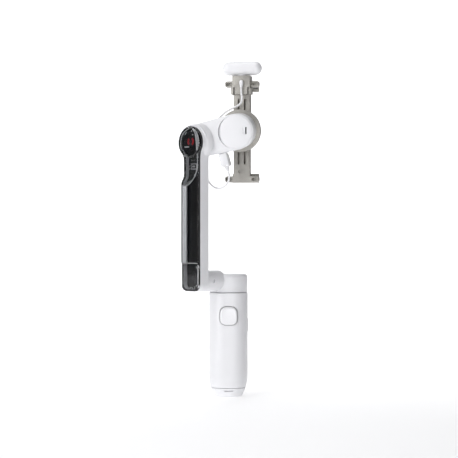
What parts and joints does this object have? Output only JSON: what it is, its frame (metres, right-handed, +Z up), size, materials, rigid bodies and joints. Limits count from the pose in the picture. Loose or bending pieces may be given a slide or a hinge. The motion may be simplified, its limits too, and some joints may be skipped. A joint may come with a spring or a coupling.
{
  "type": "gimbal stabilizer",
  "caption": "Hand-held three-axis stabilizer for a phone: oval grip with trigger, side arm with a clear cover, two motor joints, a spring clamp and a small tracking module on top.",
  "frame": {"origin": "centre of the flat foot under the handle, on the pan axis", "axes": "+Z up along the handle and the pan axis, -Y towards the subject (the trigger side), +X to the right as the subject sees it"},
  "size_m": [0.0698, 0.0612, 0.2823],
  "materials": {
    "white_plastic": "satin moulded",
    "gloss_white": "smooth semi-gloss",
    "black_plastic": "satin black",
    "rubber": "matt soft",
    "taupe_metal": "satin taupe-grey paint",
    "steel": "fine brushed",
    "copper": "enamelled wire",
    "magnet": "plated",
    "board": "solder mask",
    "clear_plastic": "clear glossy",
    "red_part": "semi-gloss red",
    "battery_wrap": "shrink wrap",
    "black_glass": "glossy black",
    "mirror_glass": "polished",
    "cable_jacket": "soft satin jacket"
  },
  "bodies": {
    "handle": {"handle_shell": "white_plastic", "control_panel": "gloss_white", "charge_port": "steel", "guide_tube": "steel", "battery": "battery_wrap", "main_board": "board", "trigger_switch": "black_plastic"},
    "trigger": {"trigger": "gloss_white"},
    "wheel": {"wheel_ring": "white_plastic"},
    "wheel_button": {"wheel_button": "red_part"},
    "mode_button": {"mode_button": "white_plastic"},
    "power_button": {"power_button": "white_plastic"},
    "tripod": {"tripod_base": "white_plastic", "tripod_leg_1": "steel", "tripod_leg_2": "steel", "tripod_leg_3": "steel"},
    "rod_1": {"rod_stage_1": "steel"},
    "rod_2": {"rod_stage_2": "steel"},
    "rod_3": {"rod_stage_3": "steel"},
    "rod_4": {"rod_stage_4": "steel", "pan_base": "black_plastic", "pan_stator": "copper"},
    "pan": {"pan_housing": "white_plastic", "pan_magnet_ring": "magnet", "pan_bearing": "steel", "fold_pin": "steel"},
    "arm": {"arm_casing": "white_plastic", "arm_liner": "black_plastic", "arm_cover": "clear_plastic", "arm_end_cap": "clear_plastic", "arm_screw_1": "steel", "arm_screw_2": "steel", "arm_board": "board", "tilt_coil": "red_part", "tilt_stator": "copper"},
    "link": {"link_housing": "white_plastic", "tilt_rotor": "magnet", "tilt_shaft": "steel", "roll_stator": "copper", "mirror": "mirror_glass", "usb_plug": "gloss_white", "plug_relief": "gloss_white", "tracker_cable": "cable_jacket"},
    "lid": {"mirror_lid": "white_plastic"},
    "clamp": {"roll_disc": "taupe_metal", "roll_rotor": "magnet", "clamp_frame": "taupe_metal", "upper_jaw": "taupe_metal", "upper_pad": "rubber", "tracker_bracket": "taupe_metal", "tracker_body": "gloss_white", "tracker_window": "black_glass", "tracker_pedestal": "white_plastic", "tracker_gland": "gloss_white", "clamp_spring": "steel"},
    "lower_jaw": {"lower_jaw": "taupe_metal", "lower_pad": "rubber"}
  },
  "joints": [
    {"name": "trigger_press", "type": "slide", "parent": "handle", "child": "trigger", "axis": [0, 1, 0], "range_m": [0, 0.0012], "stiffness_N_per_m": 1500},
    {"name": "wheel_turn", "type": "hinge", "parent": "handle", "child": "wheel", "pos_m": [0, 0.0174, 0.066], "axis": [0, 1, 0], "continuous": true},
    {"name": "wheel_press", "type": "slide", "parent": "handle", "child": "wheel_button", "axis": [0, -1, 0], "range_m": [0, 0.0006], "stiffness_N_per_m": 1500},
    {"name": "mode_press", "type": "slide", "parent": "handle", "child": "mode_button", "axis": [0, -1, 0], "range_m": [0, 0.0005], "stiffness_N_per_m": 1500},
    {"name": "power_press", "type": "slide", "parent": "handle", "child": "power_button", "axis": [-1, 0, 0], "range_m": [0, 0.0006], "stiffness_N_per_m": 1500},
    {"name": "tripod_slide", "type": "slide", "parent": "handle", "child": "tripod", "axis": [0, 0, -1], "range_m": [0, 0.038]},
    {"name": "rod_slide_1", "type": "slide", "parent": "handle", "child": "rod_1", "axis": [0, 0, 1], "range_m": [0, 0.052]},
    {"name": "rod_slide_2", "type": "slide", "parent": "rod_1", "child": "rod_2", "axis": [0, 0, 1], "range_m": [0, 0.052]},
    {"name": "rod_slide_3", "type": "slide", "parent": "rod_2", "child": "rod_3", "axis": [0, 0, 1], "range_m": [0, 0.052]},
    {"name": "rod_slide_4", "type": "slide", "parent": "rod_3", "child": "rod_4", "axis": [0, 0, 1], "range_m": [0, 0.052]},
    {"name": "pan_turn", "type": "hinge", "parent": "rod_4", "child": "pan", "pos_m": [0, 0, 0.0956], "axis": [0, 0, 1], "continuous": true},
    {"name": "arm_fold", "type": "hinge", "parent": "pan", "child": "arm", "pos_m": [0, 0, 0.0978], "axis": [-0.6947, -0.7193, 0], "range_deg": [0, 150]},
    {"name": "head_tilt", "type": "hinge", "parent": "arm", "child": "link", "pos_m": [-0.02709, -0.02805, 0.214], "axis": [0.6851, 0.7095, 0.165], "range_deg": [-80, 80]},
    {"name": "clamp_roll", "type": "hinge", "parent": "link", "child": "clamp", "pos_m": [0.0113, -0.008, 0.2233], "axis": [-0.2079, -0.9781, 0], "range_deg": [-45, 90], "deforming": ["tracker_cable"]},
    {"name": "jaw_slide", "type": "slide", "parent": "clamp", "child": "lower_jaw", "axis": [0, 0, -1], "range_m": [-0.0109, 0.0091], "deforming": ["clamp_spring"]},
    {"name": "lid_flip", "type": "hinge", "parent": "link", "child": "lid", "pos_m": [-0.00999, -0.03169, 0.2233], "axis": [0, 0, -1], "range_deg": [0, 50]}
  ],
  "couplings": [
    {"joint": "rod_slide_2", "follows": "rod_slide_1", "ratio": 1},
    {"joint": "rod_slide_3", "follows": "rod_slide_1", "ratio": 1},
    {"joint": "rod_slide_4", "follows": "rod_slide_1", "ratio": 1}
  ]
}
